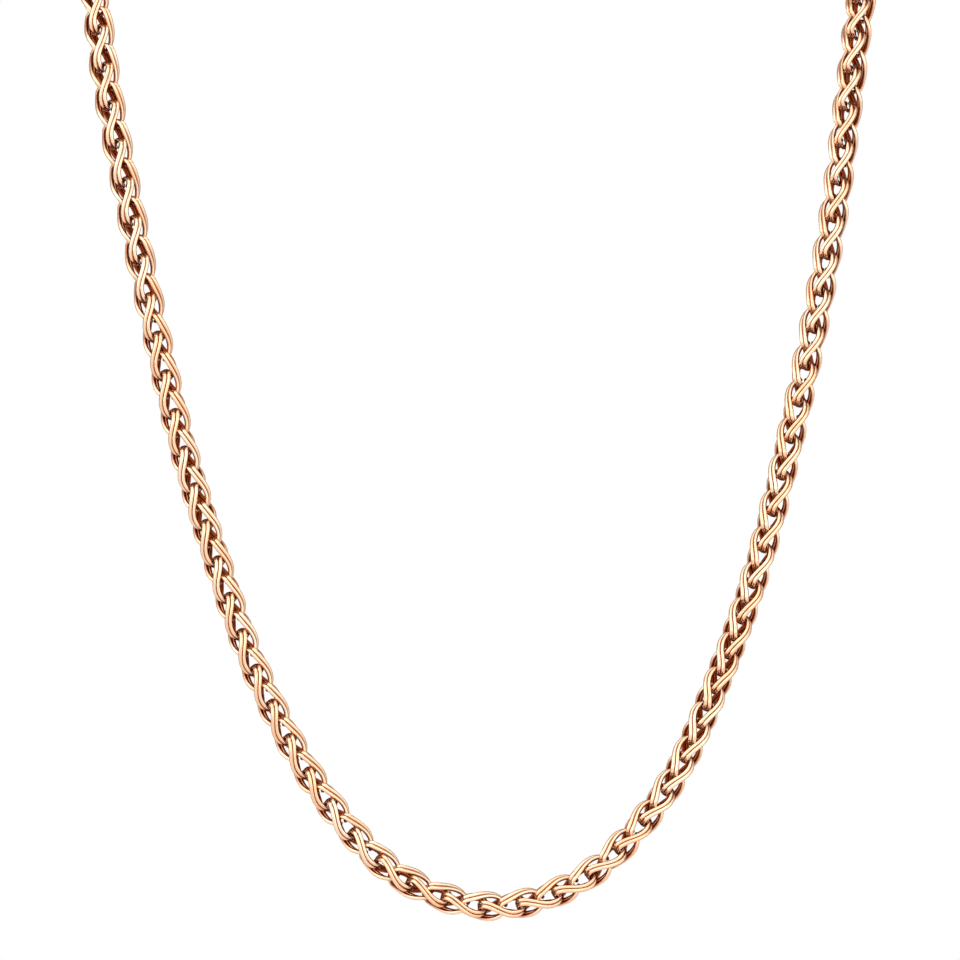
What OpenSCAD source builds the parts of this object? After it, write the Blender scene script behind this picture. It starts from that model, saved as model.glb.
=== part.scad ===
/* [Chain] */
// Width of the chain body, corner to corner
chain_w = 3.1; // [2.8:0.1:3.4]
// Sides of the chain body
chain_sides = 8; // [8:1:12]
// Rings of the body from one route point to the next
rings_per_span = 2; // [1:1:2]

/* [End rings] */
// Diameter of the wire of both end rings
end_ring_wire = 0.6; // [0.5:0.05:0.65]
// Outside diameter of the ring on the left end
left_ring_od = 3.5; // [3.4:0.05:3.7]
// Gap between the chain body and an end ring, and between the wires of two linked rings
seat_gap = 0.2; // [0.15:0.05:0.3]

/* [Clasp] */
// Outside diameter of the clasp ring
clasp_od = 6.5; // [6.3:0.1:6.7]
// Diameter of the clasp ring's wire
clasp_wire = 1.2; // [1.1:0.05:1.25]
// Outside diameter of the clasp's eye
eye_od = 2.4; // [2.3:0.05:2.5]
// Diameter of the eye's wire
eye_wire = 0.5; // [0.45:0.05:0.55]
// Length of the thumb stud beyond the clasp ring
stud_len = 0.8; // [0.5:0.1:1]
// Diameter of the thumb stud
stud_d = 1; // [0.8:0.05:1.1]

/* [Hidden] */
rose_gold = [0.86, 0.60, 0.42];
ring_facets = 64;

// Route of the chain's middle line. The neck stretch runs from the clasp's left side to the left
// leg, the front stretch down the left leg and up the right one, and the neck stretch is mirrored back.
neck_route = [
    [-6.5, 0, 0], [-16, -0.5, 0], [-26, -4, -1], [-35, -11, -2.5], [-41.5, -20.5, -5],
    [-45.5, -31.5, -8.5], [-47, -43.5, -13], [-46.3, -55, -19.5], [-44.3, -65, -28]
];
front_route = [
    [-41.7, -71.5, -38.5], [-40, -75, -50], [-37.8, -77, -61.5], [-35.2, -78.5, -74], [-32.2, -80, -87],
    [-28.5, -81.5, -99.5], [-24.1, -83, -112], [-18.2, -84, -123.5], [-11.2, -85, -132.2],
    [-5, -85, -136.1], [1.5, -85, -137.5], [8, -85, -136.1], [14.2, -85, -132], [20.7, -84, -123.8],
    [25.8, -83, -112.5], [29.8, -81.5, -101], [33, -80, -88.5], [35.7, -78.5, -76], [38, -77, -63],
    [39.7, -75, -50], [41.3, -71.5, -38.5]
];
function mirrored(p) = [-p[0], p[1], p[2]];
function backwards(list) = [for (i = [len(list) - 1:-1:0]) list[i]];
route = concat(neck_route, front_route, [for (p = backwards(neck_route)) mirrored(p)]);
spans = len(route) - 1;
ring_count = spans * rings_per_span + 1;

// A point inside the loop: the body's rings face away from it, so they never twist
loop_middle = [0, -82, -60];

// Places along X, from the chain body's left end to its right one
chain_end = 6.5;
ring_far_x = chain_end - seat_gap;
left_ring_x = left_ring_od / 2 - ring_far_x;
// The left ring's near wall lies in the eye, a gap away from the eye's far wall
eye_hole_start = left_ring_x + left_ring_od / 2 - end_ring_wire - seat_gap;
eye_x = eye_hole_start - eye_wire + eye_od / 2;
// The eye and the clasp ring share one wire's width where they are soldered
clasp_x = eye_x + eye_od / 2 - eye_wire + clasp_od / 2;
// The right ring reaches from the chain body into the clasp ring
right_ring_start = clasp_x + clasp_od / 2 - clasp_wire - seat_gap - end_ring_wire;
right_ring_od = ring_far_x - right_ring_start;
right_ring_x = ring_far_x - right_ring_od / 2;

// Route point with the list carried on in a straight line past both ends
function route_point(i) =
    i < 0 ? 2 * route[0] - route[1]
    : i > spans ? 2 * route[spans] - route[spans - 1]
    : route[i];

// Point of the smooth curve through four neighbouring route points, for t from 0 to 1
function smooth(a, b, c, d, t) =
    0.5 * (2 * b + (c - a) * t + (2 * a - 5 * b + 4 * c - d) * t * t + (3 * b - a - 3 * c + d) * t * t * t);

// Direction of the same curve
function smooth_direction(a, b, c, d, t) =
    (c - a) + 2 * (2 * a - 5 * b + 4 * c - d) * t + 3 * (3 * b - a - 3 * c + d) * t * t;

function unit(v) = v / norm(v);
function span_of(k) = min(floor(k / rings_per_span), spans - 1);
function step_of(k) = k / rings_per_span - span_of(k);
function middle(k) =
    let (i = span_of(k))
    smooth(route_point(i - 1), route_point(i), route_point(i + 1), route_point(i + 2), step_of(k));
function direction(k) =
    let (i = span_of(k))
    unit(smooth_direction(route_point(i - 1), route_point(i), route_point(i + 1), route_point(i + 2), step_of(k)));

// Corners of the body's ring number k
function body_ring(k) =
    let (along = direction(k))
    let (across = unit(cross(middle(k) - loop_middle, along)))
    let (outward = cross(along, across))
    [for (j = [0:chain_sides - 1])
        let (turn = 360 * (j + 0.5) / chain_sides)
        middle(k) + chain_w / 2 * (cos(turn) * across + sin(turn) * outward)];

module chain() {
    corners = [for (k = [0:ring_count - 1]) each body_ring(k)];
    sides = [for (k = [0:ring_count - 2]) for (j = [0:chain_sides - 1])
        let (next = (j + 1) % chain_sides)
        [k * chain_sides + j, (k + 1) * chain_sides + j, (k + 1) * chain_sides + next, k * chain_sides + next]];
    start_cap = [for (j = [0:chain_sides - 1]) j];
    end_cap = [for (j = [chain_sides - 1:-1:0]) (ring_count - 1) * chain_sides + j];
    color(rose_gold) polyhedron(corners, concat(sides, [start_cap, end_cap]), convexity = 10);
}

// Plain round ring of wire, lying in the XY plane
module wire_ring(od, wire) {
    rotate_extrude($fn = ring_facets)
        translate([od / 2 - wire / 2, 0])
            circle(d = wire, $fn = ring_facets);
}

module left_end_ring() {
    color(rose_gold) translate([left_ring_x, 0, 0]) wire_ring(left_ring_od, end_ring_wire);
}

module right_end_ring() {
    color(rose_gold) translate([right_ring_x, 0, 0]) wire_ring(right_ring_od, end_ring_wire);
}

// The clasp stands upright, across the two end rings that it holds
module clasp() {
    stud_top = clasp_od / 2 + stud_len;
    stud_root = clasp_od / 2 - clasp_wire / 2;
    color(rose_gold) {
        translate([clasp_x, 0, 0]) rotate([90, 0, 0]) wire_ring(clasp_od, clasp_wire);
        translate([eye_x, 0, 0]) rotate([90, 0, 0]) wire_ring(eye_od, eye_wire);
        translate([clasp_x, 0, stud_root]) cylinder(h = stud_top - stud_root, d = stud_d, $fn = ring_facets);
    }
}

chain();
left_end_ring();
right_end_ring();
clasp();
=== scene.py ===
"""Rose gold foxtail necklace: four rows of wire links, two end rings and a ring clasp."""
import bisect
import math
from collections import namedtuple

import bpy
from mathutils import Matrix, Vector


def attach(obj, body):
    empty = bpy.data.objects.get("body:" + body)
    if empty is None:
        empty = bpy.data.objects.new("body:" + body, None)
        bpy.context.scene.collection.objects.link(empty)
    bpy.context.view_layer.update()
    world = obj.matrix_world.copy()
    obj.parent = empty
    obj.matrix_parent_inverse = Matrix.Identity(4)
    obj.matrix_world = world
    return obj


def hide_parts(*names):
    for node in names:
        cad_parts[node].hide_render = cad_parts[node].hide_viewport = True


MM = 0.001

# The route of the chain's middle line, in mm, the same points as in the part's source.
NECK_ROUTE = [
    (-6.5, 0, 0), (-16, -0.5, 0), (-26, -4, -1), (-35, -11, -2.5), (-41.5, -20.5, -5),
    (-45.5, -31.5, -8.5), (-47, -43.5, -13), (-46.3, -55, -19.5), (-44.3, -65, -28),
]
FRONT_ROUTE = [
    (-41.7, -71.5, -38.5), (-40, -75, -50), (-37.8, -77, -61.5), (-35.2, -78.5, -74), (-32.2, -80, -87),
    (-28.5, -81.5, -99.5), (-24.1, -83, -112), (-18.2, -84, -123.5), (-11.2, -85, -132.2),
    (-5, -85, -136.1), (1.5, -85, -137.5), (8, -85, -136.1), (14.2, -85, -132), (20.7, -84, -123.8),
    (25.8, -83, -112.5), (29.8, -81.5, -101), (33, -80, -88.5), (35.7, -78.5, -76), (38, -77, -63),
    (39.7, -75, -50), (41.3, -71.5, -38.5),
]
# A point inside the loop. At every link, the way across the chain points towards it.
LOOP_MIDDLE = Vector((0, -82, -60))
STEPS_PER_SPAN = 40
# The chain's direction at a point is taken over this far to either side of it, in mm.
DIRECTION_REACH = 0.5

# One link, in mm. Its way along the chain runs from -1 at its first tip to +1 at its last one.
WIRE_WIDTH = 0.46
LINK_HALF_LENGTH = 2.53
LINK_POINTS = 30
WIRE_SIDES = 6
# Sideways and outward place of the link's middle line, as powers of the way along it.
SIDEWAYS = (0.05, 1.33, -0.32, -0.79)
OUTWARD = (1.26, -0.04, -0.64, -0.27, 0.01)
# How far its two wires lie to either side of that line, sideways and outward.
SPREAD_SIDEWAYS = (0.17, 0.05, 0.1)
SPREAD_OUTWARD = (0.13, -0.17, -0.13)
TIP_ROUNDNESS = 0.37
# From here to its ends each tip leaves that shape: line and spread, sideways and outward.
TIP_START = 0.72
FIRST_TIP = (0.59, -0.79, 0.13, 0.07)
LAST_TIP = (0.02, -0.15, -0.05, -0.07)

# The links stand on levels, from 0 at the chain's left end to this one at its right end.
LAST_LEVEL = 108
# The four rows of links: shift from the level, hand of the links, turn round the chain in degrees.
ROWS = ((0, 1, 0), (0, 1, 180), (0.5, -1, 90), (0.5, -1, -90))
# Places of the levels: (level, way along the route in mm).
LEVEL_PLACES = [
    (0, 2.7), (27, 115.6), (37, 158.2), (47, 199.5), (57, 240.2), (67, 280.5), (79, 329.1), (108, 442.4),
]
# A link has its full length where the levels are this far apart, in mm. Elsewhere it is longer or
# shorter, as their distance is.
FULL_PITCH = 4.22
# Turn of the whole chain about its own line: (way along the route in mm, degrees).
CHAIN_TURN = [
    (0, 0), (140, 1), (145, 15), (149, 22), (158, 24), (162, 30), (168, 33), (174, 25), (203, 24),
    (211, 14), (215, 11), (220, 25), (232, 28), (236, 19), (244, 27), (252, 36), (256, 46), (264, 37),
    (268, 31), (274, 25), (280, 22), (284, 27), (292, 18), (296, 11), (313, 8), (321, 1), (325, -5),
    (330, 2), (446, 0),
]
# The plain loops that join the chain to its end rings, in mm: their distance from the nape and size.
END_LOOP_MIDDLE = 6.35
END_LOOP_HALF_LENGTH = 0.9
END_LOOP_HALF_HEIGHT = 0.58
END_LOOP_ROUNDNESS = 0.7

# Kinds of link, in the order in which the Geometry Nodes tree holds their shapes.
RIGHT, LEFT, END = 0, 1, 2
LinkPlace = namedtuple("LinkPlace", "point axes kind length")

# Colours of the metal: plain, plain and paler, at its edges, and a dark painted shade.
ROSE_GOLD = (0.94, 0.58, 0.36)
ROSE_GOLD_PALE = (0.98, 0.73, 0.53)
EDGE_TINT = (0.98, 0.66, 0.42)
PAINTED_SHADE = (0.26, 0.045, 0.009)
# Distance from the chain's middle line, in mm: painted shade up to the first, none from the second on.
PAINTED_SHADE_DISTANCES = (0.35, 1.05)
# How far a face looks out of the chain, from -1 to 1: painted shade up to the first, none from the second
# on.
PAINTED_SHADE_SIDES = (-0.4, 0.65)
TONE_SEED = 7
# The metal's fine unevenness: size and detail of its grain, its roughness and how strongly it is dented.
Finish = namedtuple("Finish", "grain detail roughness dents")
LINK_FINISH = Finish(grain=900.0, detail=2.0, roughness=(0.14, 0.26), dents=0.12)
RING_FINISH = Finish(grain=1400.0, detail=4.0, roughness=(0.12, 0.28), dents=0.15)
# Depth of the dents, in metres.
DENT_DEPTH = 0.00003

# The camera, in mm: the picture spans this width at the chain's front.
PICTURE_WIDTH = 102.86
PICTURE_MIDDLE_HEIGHT = -91.93
FRONT_PLANE = -80
LENS = 800
SENSOR = 36
# Nearest and farthest that the camera sees, in metres.
CAMERA_REACH = (0.05, 20)

# Soft lights, in metres and watts: (name, place, width and height, power).
SOFT_LIGHTS = (
    ("left", (-1.1, -0.9, 0.15), (1.6, 2.0), 16),
    ("right", (1.1, -0.9, 0.0), (1.6, 2.0), 11),
    ("top", (0.0, -0.7, 1.1), (1.6, 1.2), 8),
    ("front", (0.0, -2.9, -0.1), (2.4, 2.4), 21),
)
LIGHT_AIM = (0, -0.06, -0.08)
WHITE = (1, 1, 1, 1)
# Strength of the white surroundings: as they light the metal, and as the camera sees them.
SURROUNDINGS = (0.55, 1.0)
# The floor, in metres.
FLOOR_HALF_WIDTH = 1.5
FLOOR_HEIGHT = -0.3
FLOOR_PAINT = (0.9, 0.9, 0.9, 1)
FLOOR_ROUGHNESS = 0.8

# Sockets by their number, on nodes that have more than one of the same name.
MIX_SHARE, MIX_FIRST, MIX_SECOND = 0, 6, 7
MIX_COLOUR = 2
RANDOM_NUMBER = 1


def smooth_point(a, b, c, d, t):
    """Point of the smooth curve through four neighbouring route points."""
    slope = c - a
    bend = 2 * a - 5 * b + 4 * c - d
    twist = 3 * b - a - 3 * c + d
    return 0.5 * (2 * b + slope * t + bend * t ** 2 + twist * t ** 3)


def route_line():
    """The chain's middle line as many close points, with the way along it at each."""
    neck = [Vector(p) for p in NECK_ROUTE]
    front = [Vector(p) for p in FRONT_ROUTE]
    back = [Vector((-p.x, p.y, p.z)) for p in reversed(neck)]
    points = neck + front + back
    points = [2 * points[0] - points[1]] + points + [2 * points[-1] - points[-2]]
    line = []
    for i in range(1, len(points) - 2):
        for step in range(STEPS_PER_SPAN):
            line.append(smooth_point(*points[i - 1:i + 3], step / STEPS_PER_SPAN))
    line.append(points[-2])
    ways = [0.0]
    for start, end in zip(line, line[1:]):
        ways.append(ways[-1] + (end - start).length)
    return line, ways


def between(keys, x):
    """Value at x on the broken line through the keys."""
    for (x0, y0), (x1, y1) in zip(keys, keys[1:]):
        if x <= x1:
            break
    return y0 + (y1 - y0) * (x - x0) / (x1 - x0)


class Route:
    """The chain's middle line, which gives the place and the facing at any way along it."""

    def __init__(self):
        self.line, self.ways = route_line()
        self.length = self.ways[-1]

    def point(self, way):
        """Place at this way along the line, which goes straight on past its ends."""
        if way <= 0:
            return self.line[0] + (self.line[0] - self.line[1]).normalized() * -way
        if way >= self.length:
            return self.line[-1] + (self.line[-1] - self.line[-2]).normalized() * (way - self.length)
        i = bisect.bisect_right(self.ways, way) - 1
        share = (way - self.ways[i]) / (self.ways[i + 1] - self.ways[i])
        return self.line[i].lerp(self.line[i + 1], share)

    def facing(self, way, turn):
        """Axes of a link there: along the chain, across it and out of it."""
        along = (self.point(way + DIRECTION_REACH) - self.point(way - DIRECTION_REACH)).normalized()
        out = (self.point(way) - LOOP_MIDDLE).cross(along).normalized()
        across = out.cross(along)
        axes = Matrix((along, across, out)).transposed()
        return axes @ Matrix.Rotation(turn, 3, "X")


def power_sum(factors, x):
    """Sum of the factors times the rising powers of x."""
    return sum(factor * x ** power for power, factor in enumerate(factors))


def tip_share(along):
    """0 along the link, rising to 1 at the end that this way along it is near."""
    return max(0.0, (along - TIP_START) / (1 - TIP_START)) ** 2


def rounded_side(angle, roundness):
    """-1 to 1 from one side of a loop to the other, squarer as the roundness is less."""
    return math.copysign(abs(math.sin(angle)) ** roundness, math.sin(angle))


def link_outline(hand):
    """Middle line of one link's wire, a right-handed or a left-handed one."""
    points = []
    for i in range(LINK_POINTS):
        angle = math.tau * (i + 0.5) / LINK_POINTS
        along = -math.cos(angle)
        first = tip_share(-along)
        last = tip_share(along)
        tip = [first * a + last * b for a, b in zip(FIRST_TIP, LAST_TIP)]
        side = rounded_side(angle, TIP_ROUNDNESS)
        sideways = power_sum(SIDEWAYS, along) + tip[0] + side * (power_sum(SPREAD_SIDEWAYS, along) + tip[2])
        outward = power_sum(OUTWARD, along) + tip[1] + side * (power_sum(SPREAD_OUTWARD, along) + tip[3])
        points.append(Vector((LINK_HALF_LENGTH * along, -hand * sideways, outward)) * MM)
    return points


def end_loop_outline():
    """Middle line of the plain oval loop at either end of the chain."""
    points = []
    for i in range(LINK_POINTS):
        angle = math.tau * i / LINK_POINTS
        along = END_LOOP_HALF_LENGTH * math.cos(angle)
        height = END_LOOP_HALF_HEIGHT * rounded_side(angle, END_LOOP_ROUNDNESS)
        points.append(Vector((along, 0, height)) * MM)
    return points


def wire_loop(name, points):
    """A closed curve through the points, the middle line of one link."""
    curve = bpy.data.curves.new(name, "CURVE")
    curve.dimensions = "3D"
    spline = curve.splines.new("POLY")
    spline.points.add(len(points) - 1)
    for target, point in zip(spline.points, points):
        target.co = (*point, 1)
    spline.use_cyclic_u = True
    loop = bpy.data.objects.new(name, curve)
    bpy.context.scene.collection.objects.link(loop)
    return loop


def level_pitch(level):
    """Distance between neighbouring levels of links there, in mm."""
    first = max(level - 0.5, 0)
    last = min(level + 0.5, LAST_LEVEL)
    return (between(LEVEL_PLACES, last) - between(LEVEL_PLACES, first)) / (last - first)


def link_places(route):
    """Every link's place: four rows round the chain, and a loop at either end."""
    places = []
    for whole_level in range(LAST_LEVEL + 1):
        for shift, hand, row_turn in ROWS:
            level = whole_level + shift
            if level > LAST_LEVEL:
                continue
            way = between(LEVEL_PLACES, level)
            turn = math.radians(row_turn + between(CHAIN_TURN, way))
            kind = RIGHT if hand > 0 else LEFT
            length = level_pitch(level) / FULL_PITCH
            places.append(LinkPlace(route.point(way), route.facing(way, turn), kind, length))
    for side in (-1, 1):
        places.append(LinkPlace(Vector((side * END_LOOP_MIDDLE, 0, 0)), Matrix.Identity(3), END, 1))
    return places


def add_node(tree, kind, **values):
    """A new node with the values of its inputs, or else of its settings."""
    node = tree.nodes.new(kind)
    for name, value in values.items():
        if name in node.inputs:
            node.inputs[name].default_value = value
        else:
            setattr(node, name, value)
    return node


def new_link_tree():
    """A Geometry Nodes tree with its named inputs and its output, and no nodes."""
    tree = bpy.data.node_groups.new("foxtail links", "GeometryNodeTree")
    inputs = (
        ("Places", "NodeSocketGeometry"),
        ("Right-handed link", "NodeSocketObject"),
        ("Left-handed link", "NodeSocketObject"),
        ("End loop", "NodeSocketObject"),
        ("Wire width", "NodeSocketFloat"),
        ("Wire sides", "NodeSocketInt"),
        ("Tone seed", "NodeSocketInt"),
    )
    for name, kind in inputs:
        tree.interface.new_socket(name, in_out="INPUT", socket_type=kind)
    tree.interface.new_socket("Links", in_out="OUTPUT", socket_type="NodeSocketGeometry")
    return tree


def wire_section(tree, start):
    """Section of the wire, a ring with as many sides as the tree's input says."""
    half = add_node(tree, "ShaderNodeMath", operation="MULTIPLY")
    half.inputs[1].default_value = 0.5
    tree.links.new(start.outputs["Wire width"], half.inputs[0])
    section = tree.nodes.new("GeometryNodeCurvePrimitiveCircle")
    tree.links.new(half.outputs[0], section.inputs["Radius"])
    tree.links.new(start.outputs["Wire sides"], section.inputs["Resolution"])
    return section.outputs["Curve"]


def keep_value(tree, shape, name, value, domain="POINT"):
    """The shape with the value stored on it under this name."""
    store = add_node(tree, "GeometryNodeStoreNamedAttribute", data_type="FLOAT", domain=domain)
    store.inputs["Name"].default_value = name
    tree.links.new(shape, store.inputs["Geometry"])
    tree.links.new(value, store.inputs["Value"])
    return store.outputs["Geometry"]


def value_of_place(tree, name, data_type):
    """The value that each place holds under this name."""
    node = add_node(tree, "GeometryNodeInputNamedAttribute", data_type=data_type)
    node.inputs["Name"].default_value = name
    return node.outputs["Attribute"]


def swept_wire(tree, loop_object, section):
    """Wire swept along one loop, which keeps how far out of the chain it lies and how far it looks out."""
    join = tree.links.new
    loop = tree.nodes.new("GeometryNodeObjectInfo")
    join(loop_object, loop.inputs["Object"])
    sweep = tree.nodes.new("GeometryNodeCurveToMesh")
    join(loop.outputs["Geometry"], sweep.inputs["Curve"])
    join(section, sweep.inputs["Profile Curve"])

    place = tree.nodes.new("GeometryNodeInputPosition")
    split = tree.nodes.new("ShaderNodeSeparateXYZ")
    join(place.outputs[0], split.inputs[0])
    outward = tree.nodes.new("ShaderNodeCombineXYZ")
    join(split.outputs["Y"], outward.inputs["Y"])
    join(split.outputs["Z"], outward.inputs["Z"])
    reach = add_node(tree, "ShaderNodeVectorMath", operation="LENGTH")
    join(outward.outputs[0], reach.inputs[0])
    away = add_node(tree, "ShaderNodeVectorMath", operation="NORMALIZE")
    join(outward.outputs[0], away.inputs[0])
    normal = tree.nodes.new("GeometryNodeInputNormal")
    side = add_node(tree, "ShaderNodeVectorMath", operation="DOT_PRODUCT")
    join(away.outputs[0], side.inputs[0])
    join(normal.outputs[0], side.inputs[1])

    wire = keep_value(tree, sweep.outputs["Mesh"], "reach", reach.outputs["Value"])
    wire = keep_value(tree, wire, "outer side", side.outputs["Value"])
    single = tree.nodes.new("GeometryNodeGeometryToInstance")
    join(wire, single.inputs["Geometry"])
    return single.outputs["Instances"]


def links_on_places(tree, start, shapes):
    """A link on every place, of that place's kind, facing and length, with a tone of its own."""
    join = tree.links.new
    rotation = tree.nodes.new("FunctionNodeEulerToRotation")
    join(value_of_place(tree, "facing", "FLOAT_VECTOR"), rotation.inputs[0])
    copies = tree.nodes.new("GeometryNodeInstanceOnPoints")
    copies.inputs["Pick Instance"].default_value = True
    join(start.outputs["Places"], copies.inputs["Points"])
    join(shapes, copies.inputs["Instance"])
    join(value_of_place(tree, "kind", "INT"), copies.inputs["Instance Index"])
    join(rotation.outputs["Rotation"], copies.inputs["Rotation"])
    join(value_of_place(tree, "length", "FLOAT_VECTOR"), copies.inputs["Scale"])
    tone = add_node(tree, "FunctionNodeRandomValue", data_type="FLOAT")
    join(start.outputs["Tone seed"], tone.inputs["Seed"])
    return keep_value(tree, copies.outputs["Instances"], "tone", tone.outputs[RANDOM_NUMBER], "INSTANCE")


def link_tree(material):
    """Geometry Nodes tree that sweeps the wire along each loop and sets a link on every place."""
    tree = new_link_tree()
    join = tree.links.new
    start = tree.nodes.new("NodeGroupInput")
    end = tree.nodes.new("NodeGroupOutput")
    section = wire_section(tree, start)
    shapes = tree.nodes.new("GeometryNodeJoinGeometry")
    # The socket that joins takes the last shape first, so the kinds go in from the last to the first.
    for name in ("End loop", "Left-handed link", "Right-handed link"):
        join(swept_wire(tree, start.outputs[name], section), shapes.inputs["Geometry"])
    links = links_on_places(tree, start, shapes.outputs["Geometry"])
    real = tree.nodes.new("GeometryNodeRealizeInstances")
    join(links, real.inputs["Geometry"])
    soft = tree.nodes.new("GeometryNodeSetShadeSmooth")
    join(real.outputs["Geometry"], soft.inputs["Geometry"])
    finish = add_node(tree, "GeometryNodeSetMaterial", Material=material)
    join(soft.outputs["Geometry"], finish.inputs["Geometry"])
    join(finish.outputs["Geometry"], end.inputs["Links"])
    return tree


def set_inputs(modifier, values):
    """Sets a modifier's named inputs by their sockets' identifiers."""
    for item in modifier.node_group.interface.items_tree:
        if item.in_out == "INPUT" and item.name in values:
            modifier[item.identifier] = values[item.name]


def places_carrier(places):
    """A mesh with one point for each place, which holds its facing, kind and length."""
    mesh = bpy.data.meshes.new("link places")
    mesh.from_pydata([place.point * MM for place in places], [], [])
    facings = mesh.attributes.new("facing", "FLOAT_VECTOR", "POINT")
    for item, place in zip(facings.data, places):
        item.vector = place.axes.to_euler()
    kinds = mesh.attributes.new("kind", "INT", "POINT")
    for item, place in zip(kinds.data, places):
        item.value = place.kind
    lengths = mesh.attributes.new("length", "FLOAT_VECTOR", "POINT")
    for item, place in zip(lengths.data, places):
        item.vector = (place.length, 1, 1)
    carrier = bpy.data.objects.new("link places", mesh)
    bpy.context.scene.collection.objects.link(carrier)
    return carrier


def make_links(route, material):
    """All the links of the chain, joined in one mesh."""
    carrier = places_carrier(link_places(route))
    right = wire_loop("right-handed link", link_outline(1))
    left = wire_loop("left-handed link", link_outline(-1))
    plain = wire_loop("end loop", end_loop_outline())
    modifier = carrier.modifiers.new("links", "NODES")
    modifier.node_group = link_tree(material)
    set_inputs(modifier, {
        "Right-handed link": right,
        "Left-handed link": left,
        "End loop": plain,
        "Wire width": WIRE_WIDTH * MM,
        "Wire sides": WIRE_SIDES,
        "Tone seed": TONE_SEED,
    })
    graph = bpy.context.evaluated_depsgraph_get()
    made = bpy.data.meshes.new_from_object(carrier.evaluated_get(graph))
    carrier.modifiers.remove(modifier)
    links = bpy.data.objects.new("chain_links", made)
    bpy.context.scene.collection.objects.link(links)
    for scrap in (carrier, right, left, plain):
        bpy.data.objects.remove(scrap)
    return links


def new_material(name):
    """A new material and its shader, a metal with tinted edges until it is set otherwise."""
    material = bpy.data.materials.new(name)
    material.use_nodes = True
    shader = material.node_tree.nodes["Principled BSDF"]
    shader.inputs["Metallic"].default_value = 1.0
    shader.inputs["Specular Tint"].default_value = (*EDGE_TINT, 1)
    return material, shader


def add_range(tree, value, limits, results=(0.0, 1.0), steps="LINEAR"):
    """The value carried over from its limits to the results."""
    node = add_node(tree, "ShaderNodeMapRange", interpolation_type=steps)
    node.inputs["From Min"].default_value = limits[0]
    node.inputs["From Max"].default_value = limits[1]
    node.inputs["To Min"].default_value = results[0]
    node.inputs["To Max"].default_value = results[1]
    tree.links.new(value, node.inputs["Value"])
    return node.outputs["Result"]


def mix_colours(tree, share, first, second):
    """A colour between the first one and the second, which may be another node's output."""
    node = add_node(tree, "ShaderNodeMix", data_type="RGBA")
    tree.links.new(share, node.inputs[MIX_SHARE])
    node.inputs[MIX_FIRST].default_value = (*first, 1)
    if isinstance(second, tuple):
        node.inputs[MIX_SECOND].default_value = (*second, 1)
    else:
        tree.links.new(second, node.inputs[MIX_SECOND])
    return node.outputs[MIX_COLOUR]


def stored_value(tree, name):
    """The value that the mesh holds under this name."""
    return add_node(tree, "ShaderNodeAttribute", attribute_name=name).outputs["Fac"]


def add_finish(tree, shader, finish):
    """Fine unevenness of the metal's shine and surface. Gives back the grain that both follow."""
    join = tree.links.new
    where = tree.nodes.new("ShaderNodeTexCoord")
    noise = add_node(tree, "ShaderNodeTexNoise", Scale=finish.grain, Detail=finish.detail)
    join(where.outputs["Object"], noise.inputs["Vector"])
    grain = noise.outputs["Fac"]
    join(add_range(tree, grain, (0.0, 1.0), finish.roughness), shader.inputs["Roughness"])
    bump = add_node(tree, "ShaderNodeBump", Strength=finish.dents, Distance=DENT_DEPTH)
    join(grain, bump.inputs["Height"])
    join(bump.outputs["Normal"], shader.inputs["Normal"])
    return grain


def link_gold():
    """Rose gold wire, with painted shade where it lies deep in the chain or looks into it."""
    material, shader = new_material("link_rose_gold")
    tree = material.node_tree
    join = tree.links.new
    shade_limits = [distance * MM for distance in PAINTED_SHADE_DISTANCES]
    depth = add_range(tree, stored_value(tree, "reach"), shade_limits)
    unshaded_by_facing = add_range(tree, stored_value(tree, "outer side"), PAINTED_SHADE_SIDES, steps="SMOOTHSTEP")
    unshaded = add_node(tree, "ShaderNodeMath", operation="MULTIPLY")
    join(depth, unshaded.inputs[0])
    join(unshaded_by_facing, unshaded.inputs[1])
    gold = mix_colours(tree, stored_value(tree, "tone"), ROSE_GOLD, ROSE_GOLD_PALE)
    # Painted shade: the wire turns dark maroon as it lies deeper in the chain and as its faces look into
    # it.
    join(mix_colours(tree, unshaded.outputs[0], PAINTED_SHADE, gold), shader.inputs["Base Color"])
    add_finish(tree, shader, LINK_FINISH)
    return material


def ring_gold():
    """The same rose gold, polished, on the end rings and the clasp."""
    material, shader = new_material("polished_rose_gold")
    tree = material.node_tree
    grain = add_finish(tree, shader, RING_FINISH)
    tree.links.new(mix_colours(tree, grain, ROSE_GOLD, ROSE_GOLD_PALE), shader.inputs["Base Color"])
    return material


def make_camera():
    """A level camera far in front of the chain, which frames the hanging loop as the photograph does."""
    camera_data = bpy.data.cameras.new("camera")
    camera_data.lens = LENS
    camera_data.sensor_width = SENSOR
    camera_data.clip_start, camera_data.clip_end = CAMERA_REACH
    camera = bpy.data.objects.new("camera", camera_data)
    distance = PICTURE_WIDTH * LENS / SENSOR
    camera.location = Vector((0, FRONT_PLANE - distance, PICTURE_MIDDLE_HEIGHT)) * MM
    camera.rotation_euler = (math.radians(90), 0, 0)
    bpy.context.scene.collection.objects.link(camera)
    bpy.context.scene.camera = camera


def softbox(name, place, size, power):
    """A large soft light that looks at the necklace."""
    lamp = bpy.data.lights.new(name, "AREA")
    lamp.shape = "RECTANGLE"
    lamp.size, lamp.size_y = size
    lamp.energy = power
    light = bpy.data.objects.new(name, lamp)
    light.location = place
    light.rotation_euler = (Vector(LIGHT_AIM) - Vector(place)).to_track_quat("-Z", "Y").to_euler()
    bpy.context.scene.collection.objects.link(light)


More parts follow.
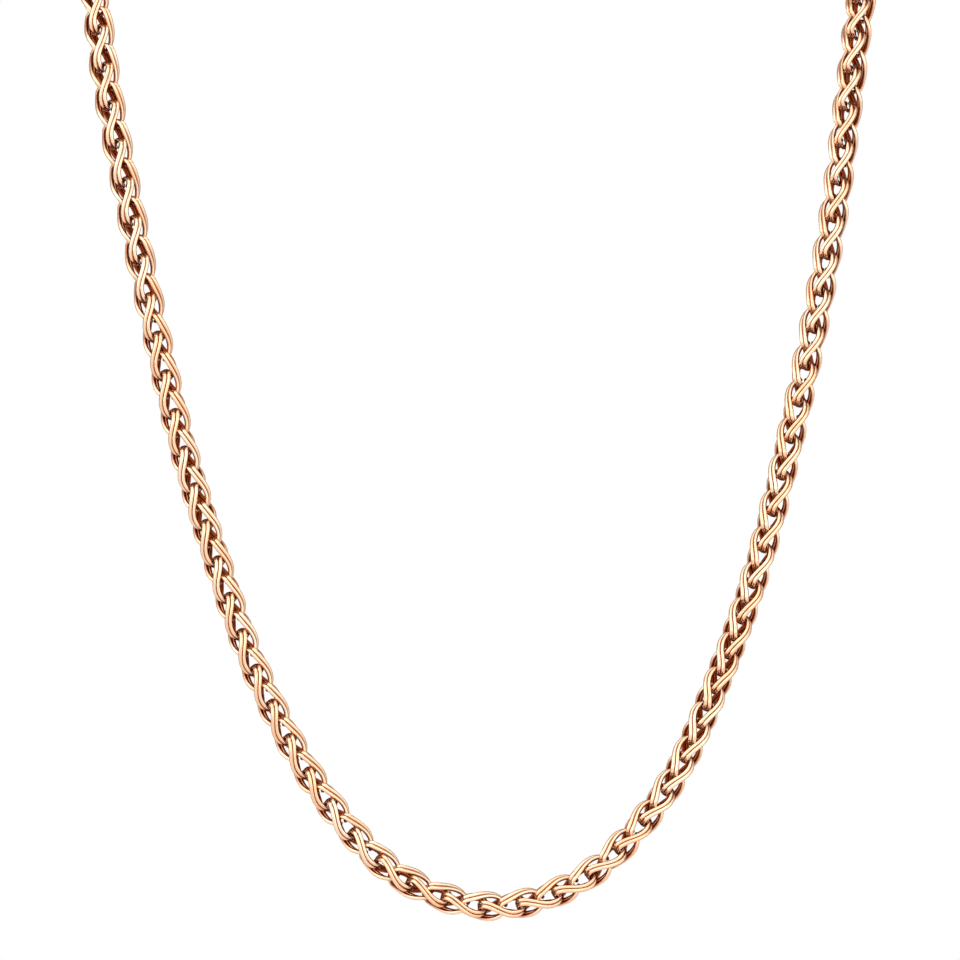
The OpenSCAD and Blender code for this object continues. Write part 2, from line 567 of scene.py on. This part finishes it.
def make_surroundings():
    """White all round, which the camera sees brighter than it lights the metal."""
    world = bpy.data.worlds.new("studio")
    world.use_nodes = True
    bpy.context.scene.world = world
    tree = world.node_tree
    background = tree.nodes["Background"]
    background.inputs["Color"].default_value = WHITE
    seen = tree.nodes.new("ShaderNodeLightPath").outputs["Is Camera Ray"]
    strength = add_range(tree, seen, (0.0, 1.0), SURROUNDINGS)
    tree.links.new(strength, background.inputs["Strength"])


def make_floor():
    """A pale floor well below the necklace."""
    mesh = bpy.data.meshes.new("floor")
    signs = ((-1, -1), (1, -1), (1, 1), (-1, 1))
    corners = [(FLOOR_HALF_WIDTH * x, FLOOR_HALF_WIDTH * y, FLOOR_HEIGHT) for x, y in signs]
    mesh.from_pydata(corners, [], [(0, 1, 2, 3)])
    floor = bpy.data.objects.new("floor", mesh)
    bpy.context.scene.collection.objects.link(floor)
    paint, shader = new_material("pale_floor")
    shader.inputs["Metallic"].default_value = 0.0
    shader.inputs["Base Color"].default_value = FLOOR_PAINT
    shader.inputs["Roughness"].default_value = FLOOR_ROUGHNESS
    mesh.materials.append(paint)


def make_studio():
    """Plain white surroundings, soft lights and the floor."""
    bpy.context.scene.view_settings.view_transform = "Standard"
    make_surroundings()
    for name, place, size, power in SOFT_LIGHTS:
        softbox(name, place, size, power)
    make_floor()


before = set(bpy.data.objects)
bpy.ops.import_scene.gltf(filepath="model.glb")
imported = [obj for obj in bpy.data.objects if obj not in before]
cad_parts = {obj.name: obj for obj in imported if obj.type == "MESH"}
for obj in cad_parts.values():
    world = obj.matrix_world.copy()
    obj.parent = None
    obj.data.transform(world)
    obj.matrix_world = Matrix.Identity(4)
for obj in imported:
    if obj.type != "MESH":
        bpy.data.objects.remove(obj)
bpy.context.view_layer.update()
make_camera()
make_studio()
links = make_links(Route(), link_gold())
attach(links, "root")
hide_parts("chain")
polished = ring_gold()
for name in ("left_end_ring", "right_end_ring", "clasp"):
    for material_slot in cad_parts[name].material_slots:
        material_slot.material = polished
